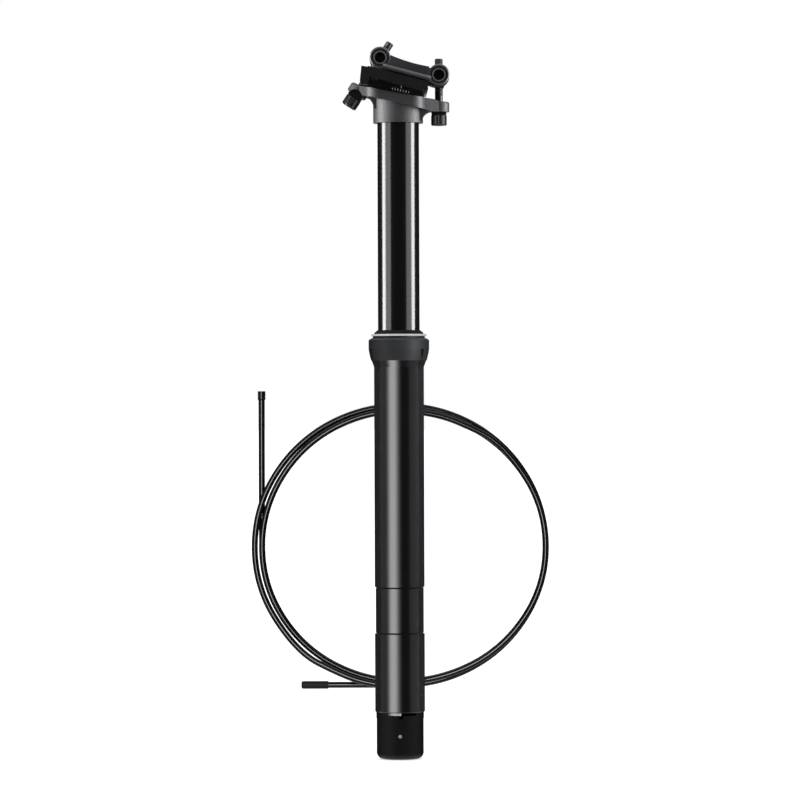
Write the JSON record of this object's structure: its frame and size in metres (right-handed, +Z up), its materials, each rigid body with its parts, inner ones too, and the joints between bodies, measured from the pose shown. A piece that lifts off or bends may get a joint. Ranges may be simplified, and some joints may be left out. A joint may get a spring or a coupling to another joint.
{
  "type": "dropper seatpost",
  "caption": "Telescoping bicycle seatpost with a two-bolt saddle clamp, a cable actuator in its lower end and a loose loop of cable housing.",
  "frame": {"origin": "on the post's axis at the top of the wall that the seat tube clamps", "axes": "+Z up the post, +X to the front of the bicycle"},
  "size_m": [0.1909, 0.0622, 0.4548],
  "materials": {
    "outer_tube": "satin black anodised",
    "collar": "bead blasted dark anodised",
    "wiper_ring": "bright turned",
    "wiper_seal": "matte",
    "upper_bushing": "plain bearing polymer",
    "base_plug": "turned",
    "base_bumper": "matte",
    "rod_nut": "plated",
    "piston_rod": "ground",
    "piston": "turned",
    "piston_seal": "matte",
    "piston_nut": "plated",
    "actuator_housing": "fine texture",
    "retaining_clip": "bright spring steel",
    "lever_pin": "ground",
    "return_spring": "spring wire",
    "actuator_lever": "plated",
    "cable_barrel": "turned",
    "valve_pin": "ground",
    "stanchion": "gloss black hard anodised",
    "guide_keys": "machined",
    "lower_bushing": "plain bearing polymer",
    "bushing_clip": "spring steel",
    "gas_cylinder": "turned",
    "seal_head": "turned",
    "rod_seal": "matte",
    "top_out_bumper": "matte",
    "cylinder_plug": "turned",
    "cartridge_retainer": "turned",
    "floating_piston": "turned",
    "floating_piston_seal": "matte",
    "head": "bead blasted dark anodised",
    "cradle": "satin black anodised",
    "upper_clamp": "bead blasted dark anodised",
    "rear_barrel_nut": "plated",
    "front_barrel_nut": "plated",
    "rear_washer": "plated",
    "front_washer": "plated",
    "rear_bolt": "black oxide",
    "front_bolt": "black oxide",
    "housing_ferrule": "black with a bright rim",
    "housing_boot": "matte",
    "housing_upper_tail": "gloss black sleeve",
    "housing_first_winding": "gloss black sleeve",
    "housing_back_run": "gloss black sleeve",
    "housing_second_winding": "gloss black sleeve",
    "housing_lower_tail": "gloss black sleeve"
  },
  "bodies": {
    "lower_post": {"outer_tube": "outer_tube", "collar": "collar", "wiper_ring": "wiper_ring", "wiper_seal": "wiper_seal", "upper_bushing": "upper_bushing", "base_plug": "base_plug", "base_bumper": "base_bumper", "rod_nut": "rod_nut", "piston_rod": "piston_rod", "piston": "piston", "piston_seal": "piston_seal", "piston_nut": "piston_nut", "actuator_housing": "actuator_housing", "retaining_clip": "retaining_clip", "lever_pin": "lever_pin", "return_spring": "return_spring", "housing_ferrule": "housing_ferrule", "housing_boot": "housing_boot", "housing_upper_tail": "housing_upper_tail", "housing_first_winding": "housing_first_winding", "housing_back_run": "housing_back_run", "housing_second_winding": "housing_second_winding", "housing_lower_tail": "housing_lower_tail"},
    "upper_post": {"stanchion": "stanchion", "guide_keys": "guide_keys", "lower_bushing": "lower_bushing", "bushing_clip": "bushing_clip", "gas_cylinder": "gas_cylinder", "seal_head": "seal_head", "rod_seal": "rod_seal", "top_out_bumper": "top_out_bumper", "cylinder_plug": "cylinder_plug", "cartridge_retainer": "cartridge_retainer", "head": "head"},
    "floating_piston_body": {"floating_piston": "floating_piston", "floating_piston_seal": "floating_piston_seal"},
    "saddle_clamp": {"cradle": "cradle", "upper_clamp": "upper_clamp"},
    "rear_nut": {"rear_barrel_nut": "rear_barrel_nut"},
    "front_nut": {"front_barrel_nut": "front_barrel_nut"},
    "rear_washer_body": {"rear_washer": "rear_washer"},
    "front_washer_body": {"front_washer": "front_washer"},
    "rear_bolt_body": {"rear_bolt": "rear_bolt"},
    "front_bolt_body": {"front_bolt": "front_bolt"},
    "lever_body": {"actuator_lever": "actuator_lever"},
    "barrel_body": {"cable_barrel": "cable_barrel"},
    "valve_body": {"valve_pin": "valve_pin"}
  },
  "joints": [
    {"name": "dropper_slide", "type": "slide", "parent": "lower_post", "child": "upper_post", "axis": [0, 0, 1], "range_m": [-0.125, 0], "stiffness_N_per_m": 100, "springref_m": 1.2},
    {"name": "floating_piston_slide", "type": "slide", "parent": "upper_post", "child": "floating_piston_body", "axis": [0, 0, 1], "range_m": [0, 0.032]},
    {"name": "saddle_tilt", "type": "hinge", "parent": "upper_post", "child": "saddle_clamp", "pos_m": [0.00555, 0, 0.20975], "axis": [0, 1, 0], "range_deg": [-6, 6]},
    {"name": "rear_washer_swing", "type": "hinge", "parent": "upper_post", "child": "rear_washer_body", "pos_m": [-0.0276, 0, 0.171], "axis": [0, 1, 0], "range_deg": [-5, 5]},
    {"name": "front_washer_swing", "type": "hinge", "parent": "upper_post", "child": "front_washer_body", "pos_m": [0.0259, 0, 0.1599], "axis": [0, 1, 0], "range_deg": [-6.5, 6.5]},
    {"name": "rear_bolt_spin", "type": "hinge", "parent": "rear_washer_body", "child": "rear_bolt_body", "pos_m": [-0.0276, 0, 0.171], "axis": [0.5522, 0, 0.8337], "continuous": true},
    {"name": "front_bolt_spin", "type": "hinge", "parent": "front_washer_body", "child": "front_bolt_body", "pos_m": [0.0259, 0, 0.1599], "axis": [0, 0, 1], "continuous": true},
    {"name": "rear_nut_turn", "type": "hinge", "parent": "saddle_clamp", "child": "rear_nut", "pos_m": [-0.01126, 0, 0.19567], "axis": [0, 1, 0], "range_deg": [-11, 11]},
    {"name": "front_nut_turn", "type": "hinge", "parent": "saddle_clamp", "child": "front_nut", "pos_m": [0.0259, 0, 0.18463], "axis": [0, 1, 0], "range_deg": [-12.5, 12.5]},
    {"name": "actuator_pull", "type": "hinge", "parent": "lower_post", "child": "lever_body", "pos_m": [0, 0, -0.2332], "axis": [0, 1, 0], "range_deg": [-34, 2]},
    {"name": "cable_barrel_turn", "type": "hinge", "parent": "lever_body", "child": "barrel_body", "pos_m": [-0.00696, 0, -0.23134], "axis": [0, 1, 0], "range_deg": [-2, 34]},
    {"name": "valve_pin_slide", "type": "slide", "parent": "lower_post", "child": "valve_body", "axis": [0, 0, 1], "range_m": [0, 0.0016], "stiffness_N_per_m": 500, "springref_m": -0.0002}
  ],
  "couplings": [
    {"joint": "floating_piston_slide", "follows": "dropper_slide", "ratio": -0.25},
    {"joint": "rear_washer_swing", "follows": "saddle_tilt", "ratio": -0.71015},
    {"joint": "front_washer_swing", "follows": "saddle_tilt", "ratio": -1.0157},
    {"joint": "rear_nut_turn", "follows": "saddle_tilt", "ratio": -1.7101},
    {"joint": "front_nut_turn", "follows": "saddle_tilt", "ratio": -2.0157},
    {"joint": "actuator_pull", "follows": "valve_pin_slide", "rad_per_m": -327.25},
    {"joint": "cable_barrel_turn", "follows": "valve_pin_slide", "rad_per_m": 327.25}
  ]
}
